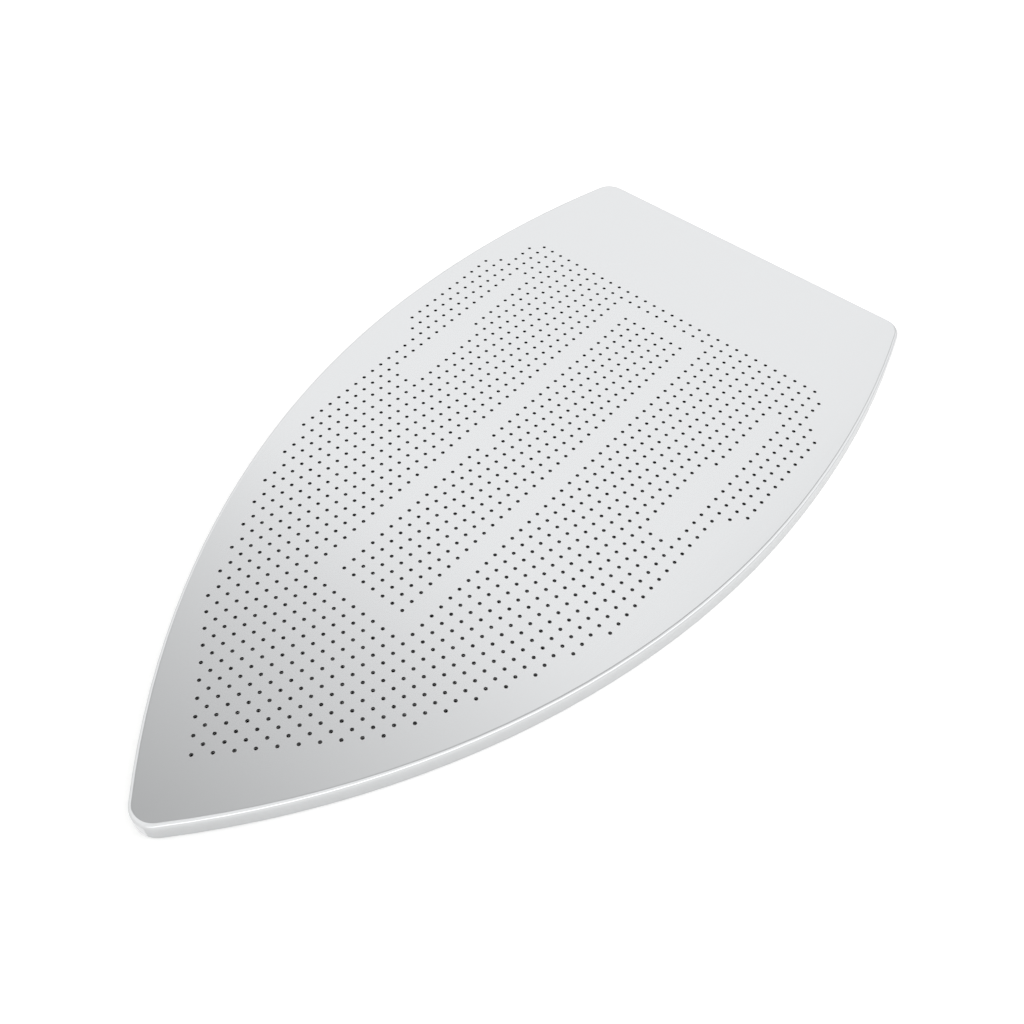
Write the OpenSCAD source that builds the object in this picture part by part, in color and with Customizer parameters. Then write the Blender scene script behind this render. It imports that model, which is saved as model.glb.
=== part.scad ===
// Shoe cover for a steam iron: a shallow pan pressed from one thin metal sheet.
// The perforated sole faces up, and the skirt stands on its lower edge.
// Origin: middle of the footprint, on the plane that the skirt's edge stands on.
// +Y runs from the toe to the heel, +X to the right seen from the toe, +Z up. Millimetres.

/* [Outline] */
// Overall length from the toe to the heel
length = 241; // [215:1:270]
// Overall width at the widest place
width = 132; // [120:1:150]
// Distance of the widest place from the heel
widest_from_heel = 85; // [65:1:110]
// Width across the heel, where the sides would meet it without their corners
heel_w = 109; // [90:1:118]
// Outer radius of the toe in plan
toe_r = 6.3; // [4:0.1:15]
// Sideways offset of the toe from the middle line
toe_shift = 1.7; // [-5:0.1:5]
// Outer radius of the two heel corners in plan
heel_r = 6; // [4:0.5:14]

/* [Sheet] */
// Overall height, from the skirt's lower edge to the sole
height = 5.5; // [4.5:0.1:12]
// Thickness of the sheet
sheet_t = 0.8; // [0.5:0.1:1]
// Outer radius of the bend between the sole and the skirt
bend_r = 1.2; // [1.1:0.1:2.5]
// Radius on the two edges of the skirt's cut rim
rim_edge_r = 0.25; // [0.05:0.05:0.35]

/* [Steam holes] */
// Diameter of a hole
hole_d = 1; // [0.6:0.1:1.6]
// Distance between holes across the sole
pitch_x = 3.2; // [2.8:0.1:3.6]
// Distance between holes along the sole
pitch_y = 3.33; // [2.9:0.01:3.6]
// Distance of the first hole from the tip of the toe
first_row_at = 17.7; // [14:0.1:24]
// Least length of the blank sole behind the last row
heel_blank = 40; // [20:1:60]
// Least width of the blank sole beside the outer columns, at the widest place
side_blank = 8; // [5:0.5:16]
// Sideways offset of the middle column from the middle line
field_shift = -0.7; // [-3:0.1:3]
// Least distance from a hole's centre to the outside of the skirt
edge_margin = 4.5; // [3:0.5:6]

/* [Blank places] */
// Column that is left blank on each side of the middle island
ring_column = 4; // [3:1:6]
// Rows in front of the island's blank ring
ring_first = 16; // [12:1:20]
// Rows behind the island's blank ring
rows_behind_ring = 2; // [1:1:6]
// Outer column of the blank slot near each side
slot_column = 14; // [12:1:16]
// Rows behind the slot
rows_behind_slot = 5; // [2:1:10]
// Length of the slot in rows
slot_rows = 16; // [8:1:18]
// Length in rows of its front part, which is one column wider
slot_wide_rows = 8; // [0:1:8]
// Column of the one site inside the island that was never punched
missed_column = -3; // [-3:1:3]
// Row of that site
missed_row = 33; // [18:1:48]

/* [Hidden] */
$fn = 72;

// plan places, measured from the middle of the footprint
half_w = width / 2;
toe_y = -length / 2;
heel_y = length / 2;
widest_y = heel_y - widest_from_heel;
toe_c = [toe_shift, toe_y + toe_r];
heel_c = [heel_w / 2 - heel_r, heel_y - heel_r];

// Radius of the arc that leaves the widest place straight along Y and ends tangent
// to a corner of radius r, whose centre lies a inside and b along from the start
function flank_r(a, b, r) = (a * a + b * b - r * r) / (2 * (a - r));

bow_right_r = flank_r(half_w - toe_c.x, widest_y - toe_c.y, toe_r);
bow_left_r = flank_r(half_w + toe_c.x, widest_y - toe_c.y, toe_r);
aft_r = flank_r(half_w - heel_c.x, heel_c.y - widest_y, heel_r);
bow_right_c = [half_w - bow_right_r, widest_y];
bow_left_c = [bow_left_r - half_w, widest_y];
aft_right_c = [half_w - aft_r, widest_y];
aft_left_c = [aft_r - half_w, widest_y];

// Direction from a flank's centre to the centre of the corner that it meets
function bearing(from, to) = let (a = atan2(to.y - from.y, to.x - from.x)) a < -90 ? a + 360 : a;

toe_right_a = bearing(bow_right_c, toe_c);
toe_left_a = bearing(bow_left_c, toe_c);
heel_right_a = bearing(aft_right_c, heel_c);
heel_left_a = 180 - heel_right_a;

// The outline's arcs, right side first and round by the heel: centre, radius, first and last angle
ARCS = [
  [toe_c, toe_r, toe_left_a - 360, toe_right_a],
  [bow_right_c, bow_right_r, toe_right_a, 0],
  [aft_right_c, aft_r, 0, heel_right_a],
  [heel_c, heel_r, heel_right_a, 90],
  [[-heel_c.x, heel_c.y], heel_r, 90, heel_left_a],
  [aft_left_c, aft_r, heel_left_a, 180],
  [bow_left_c, bow_left_r, 180, toe_left_a]
];

// the flat's share of the rim strip, and the line along its middle where the sole joins it
strip_w = (min(toe_r, heel_r) - bend_r) * 0.8;
seam_inset = bend_r + strip_w / 2;
// longest chord of the sole's edge along that line, short enough to stay within the strip
seam_chord = 6;
cut = 1;

function along_arc(arc, inset) =
  let (r = arc[1] - inset, turn = arc[3] - arc[2], n = max(2, ceil(r * turn * PI / 180 / seam_chord)))
  [for (i = [0:n - 1]) arc[0] + r * [cos(arc[2] + turn * i / n), sin(arc[2] + turn * i / n)]];

// columns on each side of the middle one, and rows, both as many as the sole has room for
side_columns = floor((half_w - side_blank) / pitch_x);
last_row = floor((length - first_row_at - heel_blank) / pitch_y);
ring_last = last_row - rows_behind_ring;
slot_last = last_row - rows_behind_slot;
slot_first = slot_last - slot_rows + 1;
slot_wide_last = slot_first + slot_wide_rows - 1;

// The field's front follows the flanks: it steps back one row a column, then two, then three
one_step_to = 9;
two_steps_to = 14;
three_steps_to = 16;
// the columns outside those are short ones beside the slot
short_first = slot_first + 4;
function first_row(a) =
  a <= one_step_to ? a
  : a <= two_steps_to ? one_step_to + 2 * (a - one_step_to)
  : a <= three_steps_to ? first_row(two_steps_to) + 3 * (a - two_steps_to)
  : short_first + a - three_steps_to - 1;
// its back is straight, but the outer columns end one row early, and the short ones three more
function final_row(a) =
  last_row - (a < three_steps_to ? 0 : a == three_steps_to ? 1 : 3 + a - three_steps_to);

function in_ring(a, row) =
  (a == ring_column && row >= ring_first && row <= ring_last)
  || (a < ring_column && (row == ring_first || row == ring_last));
function in_slot(a, row) =
  (a == slot_column && row >= slot_first && row <= slot_last)
  || (a == slot_column - 1 && row >= slot_first && row <= slot_wide_last);
function missed(column, row) = column == missed_column && row == missed_row;

function site(column, row) = [field_shift + column * pitch_x, toe_y + first_row_at + row * pitch_y];
function inside(p, c, r) = norm(p - c) <= r - edge_margin;
function on_sheet(p) =
  p.y <= heel_y - edge_margin
  && (p.y < widest_y
    ? inside(p, bow_right_c, bow_right_r) && inside(p, bow_left_c, bow_left_r)
    : inside(p, aft_right_c, aft_r) && inside(p, aft_left_c, aft_r));

HOLES = [
  for (column = [-side_columns:side_columns])
    let (a = abs(column))
    for (row = [first_row(a):1:final_row(a)])
      if (!in_ring(a, row) && !in_slot(a, row) && !missed(column, row) && on_sheet(site(column, row)))
        site(column, row)
];

// Every so many columns, counted from the middle one, each bore keeps a flat too shallow to see
flat_every = 3;
flat_depth = 0.015;
flat_column = flat_every * floor(side_columns / flat_every);

// Cross-section of the sheet at its rim, with the skirt's outer face on the Y axis:
// a strip of the sole, the bend and the skirt down to its cut edge
module rim_section() {
  translate([-bend_r - strip_w, height - sheet_t]) square([strip_w, sheet_t]);
  translate([-bend_r, height - bend_r])
    intersection() {
      difference() {
        circle(r = bend_r);
        circle(r = bend_r - sheet_t);
      }
      square(bend_r);
    }
  translate([-sheet_t, rim_edge_r]) square([sheet_t, height - bend_r - rim_edge_r]);
  translate([rim_edge_r - sheet_t, 0]) square([sheet_t - 2 * rim_edge_r, rim_edge_r]);
  for (x = [rim_edge_r - sheet_t, -rim_edge_r])
    translate([x, rim_edge_r]) circle(r = rim_edge_r);
}

// The section turned along an arc, away from the heel's straight edge where the arc ends there
module rim_turn(arc) {
  at_heel = arc[3] == 90;
  translate(arc[0]) rotate(at_heel ? arc[3] : arc[2])
    rotate_extrude(angle = at_heel ? arc[2] - arc[3] : arc[3] - arc[2]) translate([arc[1], 0]) rim_section();
}

// The rim all round: turned along each arc, and drawn straight across the heel
module rim() {
  for (arc = ARCS) rim_turn(arc);
  translate([heel_c.x, heel_y, 0]) rotate([90, 0, -90])
    linear_extrude(2 * heel_c.x) mirror([1, 0]) rim_section();
}

// The flat sole inside the rim strip, not yet drilled
module sole() {
  translate([0, 0, height - sheet_t]) linear_extrude(sheet_t)
    polygon([for (arc = ARCS) each along_arc(arc, seam_inset)]);
}

// The steam holes, straight through the sole, some columns with a flat on the right of each bore
module steam_holes() {
  translate([0, 0, height - sheet_t - cut]) linear_extrude(sheet_t + 2 * cut)
    difference() {
      for (p = HOLES) translate(p) circle(d = hole_d);
      for (column = [-flat_column:flat_every:flat_column])
        translate([site(column, 0).x + hole_d / 2 - flat_depth, toe_y]) square([hole_d / 2, length]);
    }
}

// The whole pan, which is one piece of sheet
module shoe_pan() {
  color([0.8, 0.81, 0.82]) difference() {
    union() {
      rim();
      sole();
    }
    steam_holes();
  }
}

shoe_pan();
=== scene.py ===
"""Looks of an iron shoe cover: its satin metal, the eased edges of its steam holes, and the studio."""

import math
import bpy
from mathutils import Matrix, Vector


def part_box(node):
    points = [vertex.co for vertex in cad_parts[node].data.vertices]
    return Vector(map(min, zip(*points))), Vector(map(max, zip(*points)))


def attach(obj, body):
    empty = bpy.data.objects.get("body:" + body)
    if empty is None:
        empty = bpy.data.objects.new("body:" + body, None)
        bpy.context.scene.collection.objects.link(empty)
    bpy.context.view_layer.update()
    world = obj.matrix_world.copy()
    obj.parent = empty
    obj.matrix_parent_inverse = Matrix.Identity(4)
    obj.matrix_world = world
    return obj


bl_info = {
    "name": "Iron Shoe Cover",
    "version": (1, 0, 0),
    "blender": (4, 5, 0),
    "location": "3D View > Sidebar > Shoe Cover",
    "description": "Finishes the pan of an iron shoe cover and lights it in a small studio",
    "category": "Object",
}

import bmesh
import bpy
from bpy.props import FloatProperty, FloatVectorProperty, IntProperty, PointerProperty
from mathutils import Euler, Vector

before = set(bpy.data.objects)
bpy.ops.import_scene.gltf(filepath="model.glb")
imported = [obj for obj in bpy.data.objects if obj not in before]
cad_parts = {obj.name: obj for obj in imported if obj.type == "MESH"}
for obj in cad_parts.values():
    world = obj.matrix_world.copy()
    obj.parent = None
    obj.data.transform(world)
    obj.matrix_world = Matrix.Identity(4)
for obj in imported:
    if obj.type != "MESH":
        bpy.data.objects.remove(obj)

PAN = "shoe_pan"
_, PAN_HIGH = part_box(PAN)
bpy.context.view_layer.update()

# The part of a noise's range that is used, where most of its values lie
NOISE_SPAN = (0.3, 0.7)
# The satin sheet: scale of the slow drift in its polish, and of its rolling lines on each axis
DRIFT_SCALE = 45.0
ROLLING_SCALE = (1800.0, 22.0, 1800.0)
# What still counts as upright, and how far below the sole's face a bore reaches, in metres: together they
# find the bore walls that get painted shade
UPRIGHT_SLOPE = 0.2
BORE_DEPTH = 0.000792

# How holes are found in the mesh, in metres: vertices this close are one, and this close to the sole's face
# they lie on it. A bore's wall leans no more than this slope, and its middle lies no deeper than this.
SAME_PLACE = 1e-6
AT_TOP = 1e-5
WALL_SLOPE = 0.1
WALL_MIDDLE = 0.0007
# The rings, in metres below the sole's face: the mouth, where the painted shade of the bore is full, and
# where that painted shade ends on plain metal
MOUTH_DROP = 2e-6
MOUTH_SHADE_FULL, MOUTH_SHADE_GONE = 0.00008, 0.00004
# Scale of the specks on the rings, and how much rougher they are
SPECK_SCALE = 9000.0
SPECK_SPREAD = 0.15

# The part of the floor that is clear to the metal lies this far inside the pan's sides and heel
INSIDE_SIDES = 0.0015
INSIDE_HEEL = 0.002

# The room that the metal mirrors, by the way that a mirrored ray goes: across is its X over its rise, and
# along is its Y over its rise. Each pair says where an edge begins and where it ends.
LOWEST_RISE = 0.02
DIM_SLANT = -1.6
DIM_EDGE = (-0.24, -0.03)
DIM_END = (0.1, 0.53)
DIM_SIDE = (-1.5, -0.9)
GAP_ACROSS = -0.02
GAP_EDGE = (0.02, 0.25)
GAP_DEEPENS = (0, 0.55)
GAP_FIRST_DEPTH = 0.05
GAP_FADES = (0.65, 1.1)
GAP_LAST_SHARE = 0.56
STRIP_ACROSS = 1.1
STRIP_EDGE = (0.035, 0.35)
STRIP_END = (-0.95, 2.5)
# The walls near the horizon, by the Z and the Y of the ray itself, and what they lose towards the heel
HORIZON_EDGE = (0.185, 0.447)
WALL_TURN = (-0.8, 0.95)
HEEL_WALL_CHANGE = -0.2

# The soft lamp beyond the heel, in metres
LAMP_AT = (0.3, 0.42, 0.3)
LAMP_WIDTH = 0.5

# The camera's sensor in millimetres, and the distances that it sees, in metres
SENSOR = 36
NEAREST, FARTHEST = 0.01, 50


class SheetFinish(bpy.types.PropertyGroup):
    colour: FloatVectorProperty(
        name="Metal",
        description="Colour of the bare sheet",
        subtype="COLOR",
        size=3,
        min=0,
        max=1,
        default=(0.80, 0.81, 0.82),
    )
    roughness: FloatProperty(
        name="Roughness",
        description="Mean roughness of the satin finish",
        subtype="FACTOR",
        min=0.05,
        max=1,
        default=0.15,
    )
    roughness_spread: FloatProperty(
        name="Roughness Spread",
        description="How far the roughness drifts from place to place",
        subtype="FACTOR",
        min=0,
        max=0.3,
        default=0.02,
    )
    grain_size: FloatProperty(
        name="Grain Size",
        description="Width of one fleck of the satin grain",
        unit="LENGTH",
        subtype="DISTANCE",
        min=0.00002,
        max=0.002,
        default=0.00022,
    )
    grain_depth: FloatProperty(
        name="Grain Depth",
        description="Height of the satin grain",
        unit="LENGTH",
        subtype="DISTANCE",
        min=0,
        max=0.0001,
        default=0.000002,
    )
    # Painted shade: this tone darkens the metal on the walls of the holes, standing in for the shade inside
    # them.
    bore_painted_shade: FloatProperty(
        name="Bore Tone",
        description="How bright the punched walls of the holes are beside the open sheet",
        subtype="FACTOR",
        min=0,
        max=1,
        default=0.018,
    )


class HoleEdges(bpy.types.PropertyGroup):
    ease: FloatProperty(
        name="Ease",
        description="Width and depth of the eased edge inside the mouth of a hole",
        unit="LENGTH",
        subtype="DISTANCE",
        min=0.00001,
        max=0.0002,
        default=0.00005,
    )
    depth: FloatProperty(
        name="Depth",
        description="How far the burnished ring reaches down the bore",
        unit="LENGTH",
        subtype="DISTANCE",
        min=0.0001,
        max=0.0008,
        default=0.0005,
    )
    sides: IntProperty(
        name="Sides",
        description="Segments round one ring",
        min=8,
        max=24,
        default=16,
    )


class Studio(bpy.types.PropertyGroup):
    floor_width: FloatProperty(
        name="Floor",
        description="Width of the square floor",
        unit="LENGTH",
        subtype="DISTANCE",
        min=1,
        max=20,
        default=6,
    )
    floor_colour: FloatVectorProperty(
        name="Floor Colour",
        description="Colour of the floor",
        subtype="COLOR",
        size=3,
        min=0,
        max=1,
        default=(0.82, 0.82, 0.815),
    )
    floor_lift: FloatProperty(
        name="Floor Lift",
        description="How much paler the camera sees the floor, so that it comes out white",
        min=0,
        max=1,
        default=0.38,
    )
    widest_at: FloatProperty(
        name="Widest At",
        description="Place along the floor where the pan that stands on it is widest",
        unit="LENGTH",
        subtype="DISTANCE",
        min=-0.1,
        max=0.1,
        default=0.0355,
    )
    taper: FloatProperty(
        name="Taper",
        description="How fast the pan's footprint narrows away from there",
        min=0,
        max=10,
        default=2.5,
    )
    surround: FloatProperty(
        name="Surround",
        description="Light of the white walls",
        min=0,
        max=2,
        default=1.0,
    )
    ceiling: FloatProperty(
        name="Ceiling",
        description="Light of the dim patch of ceiling that the metal mirrors",
        min=0,
        max=2,
        default=0.486,
    )
    gap: FloatProperty(
        name="Gap",
        description="How dark the gap beside the dim patch gets",
        subtype="FACTOR",
        min=0,
        max=1,
        default=0.6,
    )
    strip_light: FloatProperty(
        name="Strip Light",
        description="Light of the long strip that draws the line along the near bend",
        min=0,
        max=4,
        default=0.96,
    )
    wall: FloatProperty(
        name="Wall",
        description="Light of the walls near the horizon on the toe's side",
        min=0,
        max=2,
        default=0.94,
    )
    heel_power: FloatProperty(
        name="Heel Light",
        description="Power of the soft lamp beyond the heel",
        unit="POWER",
        subtype="POWER",
        min=0,
        max=20,
        default=1.3,
    )
    camera_at: FloatVectorProperty(
        name="Camera",
        description="Place of the camera",
        unit="LENGTH",
        subtype="TRANSLATION",
        size=3,
        default=(0.12148, -0.14647, 0.23367),
    )
    camera_turn: FloatVectorProperty(
        name="Camera Turn",
        description="Turn of the camera about X, Y and Z",
        unit="ROTATION",
        subtype="EULER",
        size=3,
        default=(math.radians(38.0961), math.radians(-0.7439), math.radians(39.5017)),
    )
    lens: FloatProperty(
        name="Lens",
        description="Focal length on a sensor 36 mm wide",
        unit="CAMERA",
        subtype="DISTANCE_CAMERA",
        min=10,
        max=200,
        default=40.211,
    )


class Sockets:
    """Adds nodes to one material or world, each from its type, its settings and its input values."""

    def __init__(self, tree):
        self.tree = tree
        tree.nodes.clear()

    def add(self, kind, inputs=None, **settings):
        node = self.tree.nodes.new(kind)
        for name, value in settings.items():
            setattr(node, name, value)
        for name, value in (inputs or {}).items():
            if isinstance(value, bpy.types.NodeSocket):
                self.tree.links.new(value, node.inputs[name])
            else:
                node.inputs[name].default_value = value
        return node

    def math(self, operation, a, b=0.0, c=0.0):
        node = self.add("ShaderNodeMath", {0: a, 1: b, 2: c}, operation=operation)
        return node.outputs[0]

    def mix(self, share, first, second):
        """Go from one colour to another, or from one number to another."""
        colours = isinstance(first, tuple)
        a, b, out = (6, 7, 2) if colours else (2, 3, 0)
        node = self.add(
            "ShaderNodeMix", {0: share, a: first, b: second}, data_type="RGBA" if colours else "FLOAT"
        )
        return node.outputs[out]

    def split(self, vector):
        """The three coordinates of a vector."""
        return self.add("ShaderNodeSeparateXYZ", {"Vector": vector}).outputs

    def ramp(self, value, low, high, to_low=0.0, to_high=1.0, smooth=False):
        node = self.add(
            "ShaderNodeMapRange",
            {"Value": value, "From Min": low, "From Max": high, "To Min": to_low, "To Max": to_high},
            interpolation_type="SMOOTHSTEP" if smooth else "LINEAR",
            clamp=True,
        )
        return node.outputs["Result"]


def new_material(name):
    """An empty material and its sockets."""
    material = bpy.data.materials.new(name)
    material.use_nodes = True
    return material, Sockets(material.node_tree)


def painted_bore_shade(finish):
    """Painted shade for the punched wall of a hole: the metal's colour darkened near to black."""
    return (*(part * finish.bore_painted_shade for part in finish.colour), 1)


def object_point(n):
    """The point's place on the object, in metres."""
    return n.add("ShaderNodeTexCoord").outputs["Object"]


def sheet_material(finish):
    """Satin sheet: an even fine grain, slow drifts in its polish, and painted shade on the punched walls of
    the holes.
    """
    material, n = new_material("satin_sheet")
    at = object_point(n)

    grain = n.add(
        "ShaderNodeTexNoise",
        {"Vector": at, "Scale": 1 / finish.grain_size, "Detail": 3.0, "Roughness": 0.6},
    ).outputs["Fac"]
    drift = n.add(
        "ShaderNodeTexNoise", {"Vector": at, "Scale": DRIFT_SCALE, "Detail": 2.0, "Roughness": 0.5}
    ).outputs["Fac"]
    rolling = n.add("ShaderNodeMapping", {"Vector": at, "Scale": ROLLING_SCALE}).outputs["Vector"]
    lines = n.add("ShaderNodeTexNoise", {"Vector": rolling, "Scale": 1.0, "Detail": 2.0}).outputs["Fac"]

    polish = n.math("ADD", n.math("MULTIPLY", drift, 0.5), n.math("MULTIPLY", lines, 0.5))
    roughness = n.ramp(
        polish,
        *NOISE_SPAN,
        finish.roughness - finish.roughness_spread,
        finish.roughness + finish.roughness_spread,
    )

    # Painted shade: upright walls just below the sole's face take the darkened bore colour, standing in for
    # the shade inside the holes.
    facing = n.split(n.add("ShaderNodeNewGeometry").outputs["True Normal"])["Z"]
    upright = n.math("LESS_THAN", n.math("ABSOLUTE", facing), UPRIGHT_SLOPE)
    in_sole = n.math("GREATER_THAN", n.split(at)["Z"], PAN_HIGH.z - BORE_DEPTH)
    bore = n.math("MULTIPLY", upright, in_sole)
    colour = n.mix(bore, (*finish.colour, 1), painted_bore_shade(finish))

    bump = n.add(
        "ShaderNodeBump", {"Strength": 1.0, "Distance": finish.grain_depth, "Height": grain}
    ).outputs["Normal"]
    shader = n.add(
        "ShaderNodeBsdfPrincipled",
        {"Base Color": colour, "Metallic": 1.0, "Roughness": roughness, "Normal": bump},
    )
    n.add("ShaderNodeOutputMaterial", {"Surface": shader.outputs["BSDF"]})
    return material


class SHOECOVER_OT_finish_pan(bpy.types.Operator):
    """Give the pan its satin finish"""

    bl_idname = "shoecover.finish_pan"
    bl_label = "Finish Pan"

    def execute(self, context):
        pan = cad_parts[PAN]
        if not pan.material_slots:
            raise RuntimeError("the pan has no material slot to finish")
        material = sheet_material(context.scene.shoecover_finish)
        for held in pan.material_slots:
            held.material = material
        return {"FINISHED"}


def circle_through(a, b, c):
    """Middle and radius of the circle through three points of one height."""
    u, v = b - a, c - a
    w = u.cross(v)
    out = (v.length_squared * w.cross(u) + u.length_squared * v.cross(w)) / (2 * w.length_squared)
    return a + out, out.length


def bore_middles(pan):
    """Middle and radius of each hole in the sole, from the round part of its bore. A bore's flat, where
    it has one, is on its right, so its leftmost, front and rear points lie on the circle."""
    shell = bmesh.new()
    shell.from_mesh(pan.data)
    bmesh.ops.remove_doubles(shell, verts=shell.verts, dist=SAME_PLACE)
    top = PAN_HIGH.z
    walls = {
        face
        for face in shell.faces
        if abs(face.normal.z) < WALL_SLOPE and face.calc_center_median().z > top - WALL_MIDDLE
    }
    holes = []
    while walls:
        patch, rim = [walls.pop()], set()
        while patch:
            face = patch.pop()
            rim.update(vert for vert in face.verts if vert.co.z > top - AT_TOP)
            near = {other for edge in face.edges for other in edge.link_faces} & walls
            walls -= near
            patch.extend(near)
        points = [vert.co for vert in rim]
        left = min(points, key=lambda p: (p.x, p.y))
        front = min(points, key=lambda p: (p.y, p.x))
        rear = max(points, key=lambda p: (p.y, p.x))
        holes.append(circle_through(left, front, rear))
    shell.free()
    return sorted(holes, key=lambda hole: (round(hole[0].x, 5), hole[0].y))


def place_on_ring(part):
    """Sorts a vertex, edge or face of a ring by its height, then by its turn round the Z axis."""
    corners = getattr(part, "verts", [part])
    middle = sum((vert.co for vert in corners), Vector()) / len(corners)
    return round(middle.z / SAME_PLACE) + math.atan2(middle.y, middle.x)


def edge_ring(edges, radius):
    """One burnished ring round the Z axis: an eased mouth at the sole's height, then a short wall."""
    ring = bmesh.new()
    mouth = bmesh.ops.create_circle(ring, segments=edges.sides, radius=radius, cap_ends=False)["verts"]
    bmesh.ops.translate(ring, verts=mouth, vec=(0, 0, PAN_HIGH.z - MOUTH_DROP))
    loop = ring.edges[:]
    eased = (radius - edges.ease) / radius
    for share, drop in ((eased, edges.ease), (1, edges.depth - edges.ease)):
        grown = bmesh.ops.extrude_edge_only(ring, edges=loop)["geom"]
        low = [part for part in grown if isinstance(part, bmesh.types.BMVert)]
        loop = [
            part for part in grown if isinstance(part, bmesh.types.BMEdge) and set(part.verts) <= set(low)
        ]
        bmesh.ops.scale(ring, verts=low, vec=(share, share, 1))
        bmesh.ops.translate(ring, verts=low, vec=(0, 0, -drop))
    for face in ring.faces:
        face.smooth = True
    # extruded parts come in no set order, and the mesh is the same each run
    for parts in (ring.verts, ring.edges, ring.faces):
        parts.sort(key=place_on_ring)
    return ring


def edge_material(finish):
    """The burnished mouth of a hole, with painted shade that darkens it down the bore."""
    material, n = new_material("burnished_edge_painted_shade")
    at = object_point(n)
    # Painted shade: the ring goes from plain metal at the mouth to the darkened bore colour lower down,
    # standing in for the shade in the hole.
    up = n.ramp(n.split(at)["Z"], PAN_HIGH.z - MOUTH_SHADE_FULL, PAN_HIGH.z - MOUTH_SHADE_GONE)
    colour = n.mix(up, painted_bore_shade(finish), (*finish.colour, 1))
    specks = n.add(
        "ShaderNodeTexNoise", {"Vector": at, "Scale": SPECK_SCALE, "Detail": 2.0}
    ).outputs["Fac"]
    roughness = n.ramp(specks, *NOISE_SPAN, finish.roughness, finish.roughness + SPECK_SPREAD)
    shader = n.add(
        "ShaderNodeBsdfPrincipled", {"Base Color": colour, "Metallic": 1.0, "Roughness": roughness}
    )
    n.add("ShaderNodeOutputMaterial", {"Surface": shader.outputs["BSDF"]})
    return material


class SHOECOVER_OT_ease_holes(bpy.types.Operator):
    """Ease the mouth of every steam hole with a small burnished ring"""

    bl_idname = "shoecover.ease_holes"
    bl_label = "Ease Holes"

    def execute(self, context):
        edges = context.scene.shoecover_edges
        holes = bore_middles(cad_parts[PAN])
        if not holes:
            raise RuntimeError("the sole has no holes")
        ring = edge_ring(edges, min(radius for _, radius in holes))
        mesh = bpy.data.meshes.new("hole_edges")
        ring.to_mesh(mesh)
        ring.free()

        rings = bmesh.new()
        for middle, _ in holes:
            placed = len(rings.verts)
            rings.from_mesh(mesh)
            rings.verts.ensure_lookup_table()
            for vert in rings.verts[placed:]:
                vert.co += Vector((middle.x, middle.y, 0))
        rings.to_mesh(mesh)
        rings.free()
        piece = bpy.data.objects.new("hole_edges", mesh)
        context.scene.collection.objects.link(piece)
        mesh.materials.append(edge_material(context.scene.shoecover_finish))
        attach(piece, "root")
        return {"FINISHED"}


def floor_material(studio):
    """Plain pale floor. The camera sees it paler, up to white, with the object's shadow on it. From
    below it is clear, and under the pan it is also clear to what the metal mirrors, so that the pan's
    inside stays bright. A ray that comes from the floor itself still meets it, so the holes stay dark."""
    material, n = new_material("pale_floor")
    path = n.add("ShaderNodeLightPath").outputs
    brighter = n.math("MULTIPLY_ADD", path["Is Camera Ray"], studio.floor_lift, 1)
    colour = n.add(
        "ShaderNodeVectorMath", {0: tuple(studio.floor_colour), "Scale": brighter}, operation="SCALE"
    ).outputs["Vector"]

    at = n.split(object_point(n))
    aft = n.math("SUBTRACT", at["Y"], studio.widest_at)
    half_width = n.math(
        "MULTIPLY_ADD", n.math("MULTIPLY", aft, aft), -studio.taper, PAN_HIGH.x - INSIDE_SIDES
    )
    under_pan = n.math(
        "MULTIPLY",
        n.math("LESS_THAN", n.math("ABSOLUTE", at["X"]), half_width),
        n.math("LESS_THAN", at["Y"], PAN_HIGH.y - INSIDE_HEEL),
    )
    never_diffuse = n.math("LESS_THAN", path["Diffuse Depth"], 0.5)
    mirrored = n.math("MULTIPLY", path["Is Glossy Ray"], never_diffuse)
    below = n.add("ShaderNodeNewGeometry").outputs["Backfacing"]
    see_through = n.math("MAXIMUM", below, n.math("MULTIPLY", under_pan, mirrored))

    paint = n.add("ShaderNodeBsdfDiffuse", {"Color": colour}).outputs[0]
    clear = n.add("ShaderNodeBsdfTransparent").outputs[0]
    side = n.add("ShaderNodeMixShader", {"Fac": see_through, 1: paint, 2: clear})
    n.add("ShaderNodeOutputMaterial", {"Surface": side.outputs[0]})
    return material


def lit_ceiling(n, across, along, studio):
    """The ceiling, which is dim over the toe and has a dark gap beside the dim patch."""
    slant = n.math("MULTIPLY_ADD", along, DIM_SLANT, across)
    over_toe = n.math(
        "MULTIPLY", n.ramp(slant, *DIM_EDGE, 1, 0, smooth=True), n.ramp(along, *DIM_END, 1, 0)
    )
    dim = n.math("MULTIPLY", over_toe, n.ramp(across, *DIM_SIDE, smooth=True))
    ceiling = n.ramp(dim, 0, 1, studio.surround, studio.ceiling)

    from_gap = n.math("ABSOLUTE", n.math("SUBTRACT", across, GAP_ACROSS))
    depth = n.math(
        "MULTIPLY",
        n.ramp(along, *GAP_DEEPENS, GAP_FIRST_DEPTH, studio.gap),
        n.ramp(along, *GAP_FADES, 1, GAP_LAST_SHARE),
    )
    gap = n.math("MULTIPLY", n.ramp(from_gap, *GAP_EDGE, 1, 0, smooth=True), depth)
    return n.math("MULTIPLY", ceiling, n.math("SUBTRACT", 1, gap))


def strip_share(n, across, along):
    """How much of the long strip light on the right a ray meets."""
    from_strip = n.math("ABSOLUTE", n.math("SUBTRACT", across, STRIP_ACROSS))
    return n.math(
        "MULTIPLY",
        n.ramp(from_strip, *STRIP_EDGE, 1, 0, smooth=True),
        n.ramp(along, *STRIP_END, 1, 0, smooth=True),
    )


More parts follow.
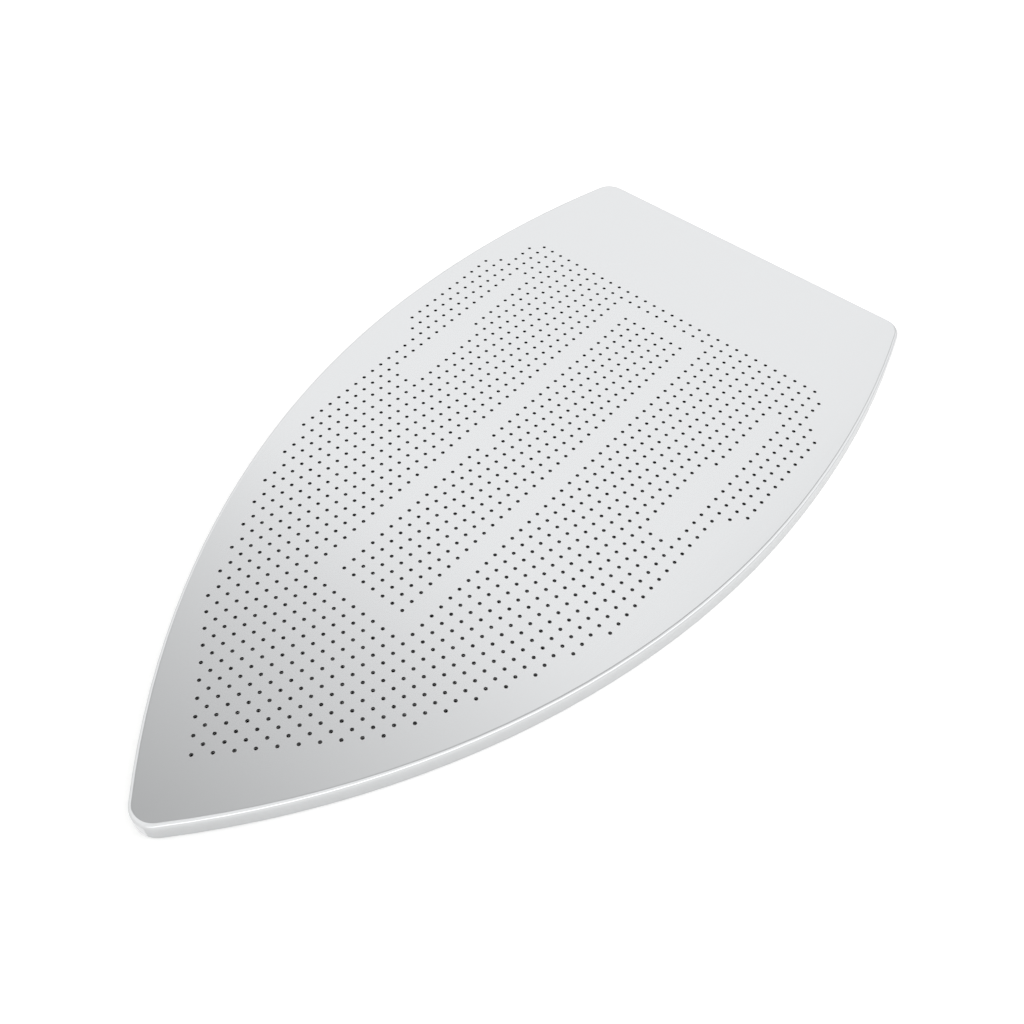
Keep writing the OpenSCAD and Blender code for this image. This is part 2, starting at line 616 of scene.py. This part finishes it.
def light_walls(world, studio):
    """White walls all round. Only the metal mirrors the rest of the room: the ceiling with its dim patch,
    the strip light, and walls near the horizon that get duller towards the heel."""
    world.use_nodes = True
    n = Sockets(world.node_tree)
    ray = n.split(n.add("ShaderNodeTexCoord").outputs["Generated"])
    rise = n.math("MAXIMUM", ray["Z"], LOWEST_RISE)
    across = n.math("DIVIDE", ray["X"], rise)
    along = n.math("DIVIDE", ray["Y"], rise)

    strip = strip_share(n, across, along)
    room = n.math("MULTIPLY_ADD", strip, studio.strip_light, lit_ceiling(n, across, along, studio))
    low = n.ramp(ray["Z"], *HORIZON_EDGE, 1, 0, smooth=True)
    low = n.math("MULTIPLY", low, n.math("SUBTRACT", 1, strip))
    duller = n.ramp(ray["Y"], *WALL_TURN, studio.wall - studio.surround, HEEL_WALL_CHANGE, smooth=True)
    mirrored = n.math("MULTIPLY_ADD", low, duller, room)

    is_mirrored = n.add("ShaderNodeLightPath").outputs["Is Glossy Ray"]
    light = n.mix(is_mirrored, studio.surround, mirrored)
    walls = n.add("ShaderNodeBackground", {"Color": (1, 1, 1, 1), "Strength": light})
    n.add("ShaderNodeOutputWorld", {"Surface": walls.outputs[0]})


def add_floor(scene, studio):
    """The square floor that the cover lies on."""
    ground = bmesh.new()
    bmesh.ops.create_grid(ground, x_segments=1, y_segments=1, size=studio.floor_width / 2)
    mesh = bpy.data.meshes.new("floor")
    ground.to_mesh(mesh)
    ground.free()
    mesh.materials.append(floor_material(studio))
    floor = bpy.data.objects.new("floor", mesh)
    scene.collection.objects.link(floor)


def add_heel_light(scene, studio):
    """A soft lamp beyond the heel that lifts the floor there. The metal doesn't mirror it."""
    data = bpy.data.lights.new("heel_light", "AREA")
    data.shape, data.size = "SQUARE", LAMP_WIDTH
    data.energy = studio.heel_power
    lamp = bpy.data.objects.new("heel_light", data)
    lamp.location = LAMP_AT
    lamp.rotation_euler = (-lamp.location).to_track_quat("-Z", "Y").to_euler()
    lamp.visible_glossy = False
    scene.collection.objects.link(lamp)


def add_camera(scene, studio):
    """The camera, where the photograph's stood."""
    data = bpy.data.cameras.new("camera")
    data.sensor_width = SENSOR
    data.lens = studio.lens
    data.clip_start, data.clip_end = NEAREST, FARTHEST
    camera = bpy.data.objects.new("camera", data)
    camera.location = studio.camera_at
    camera.rotation_euler = Euler(studio.camera_turn, "XYZ")
    scene.collection.objects.link(camera)
    scene.camera = camera


class SHOECOVER_OT_set_stage(bpy.types.Operator):
    """Set the floor, the lit walls and the camera"""

    bl_idname = "shoecover.set_stage"
    bl_label = "Set Stage"

    def execute(self, context):
        scene = context.scene
        studio = scene.shoecover_studio
        add_floor(scene, studio)
        scene.world = bpy.data.worlds.new("white_walls")
        light_walls(scene.world, studio)
        add_heel_light(scene, studio)
        add_camera(scene, studio)
        scene.view_settings.view_transform = "Standard"
        return {"FINISHED"}


class SHOECOVER_PT_panel(bpy.types.Panel):
    """Steps and sizes of the shoe cover's looks"""

    bl_idname = "SHOECOVER_PT_panel"
    bl_label = "Iron Shoe Cover"
    bl_space_type = "VIEW_3D"
    bl_region_type = "UI"
    bl_category = "Shoe Cover"

    def draw(self, context):
        steps = (
            ("shoecover.finish_pan", "shoecover_finish"),
            ("shoecover.ease_holes", "shoecover_edges"),
            ("shoecover.set_stage", "shoecover_studio"),
        )
        for operator, group in steps:
            box = self.layout.box()
            box.operator(operator)
            values = getattr(context.scene, group)
            for name in values.__annotations__:
                box.prop(values, name)


GROUPS = {
    "shoecover_finish": SheetFinish,
    "shoecover_edges": HoleEdges,
    "shoecover_studio": Studio,
}
CLASSES = (
    *GROUPS.values(),
    SHOECOVER_OT_finish_pan,
    SHOECOVER_OT_ease_holes,
    SHOECOVER_OT_set_stage,
    SHOECOVER_PT_panel,
)


def register():
    for cls in CLASSES:
        bpy.utils.register_class(cls)
    for name, group in GROUPS.items():
        setattr(bpy.types.Scene, name, PointerProperty(type=group))


def unregister():
    for name in GROUPS:
        delattr(bpy.types.Scene, name)
    for cls in reversed(CLASSES):
        bpy.utils.unregister_class(cls)


def main():
    register()
    bpy.ops.shoecover.finish_pan()
    bpy.ops.shoecover.ease_holes()
    bpy.ops.shoecover.set_stage()
    bpy.context.view_layer.update()


if __name__ == "__main__":
    main()
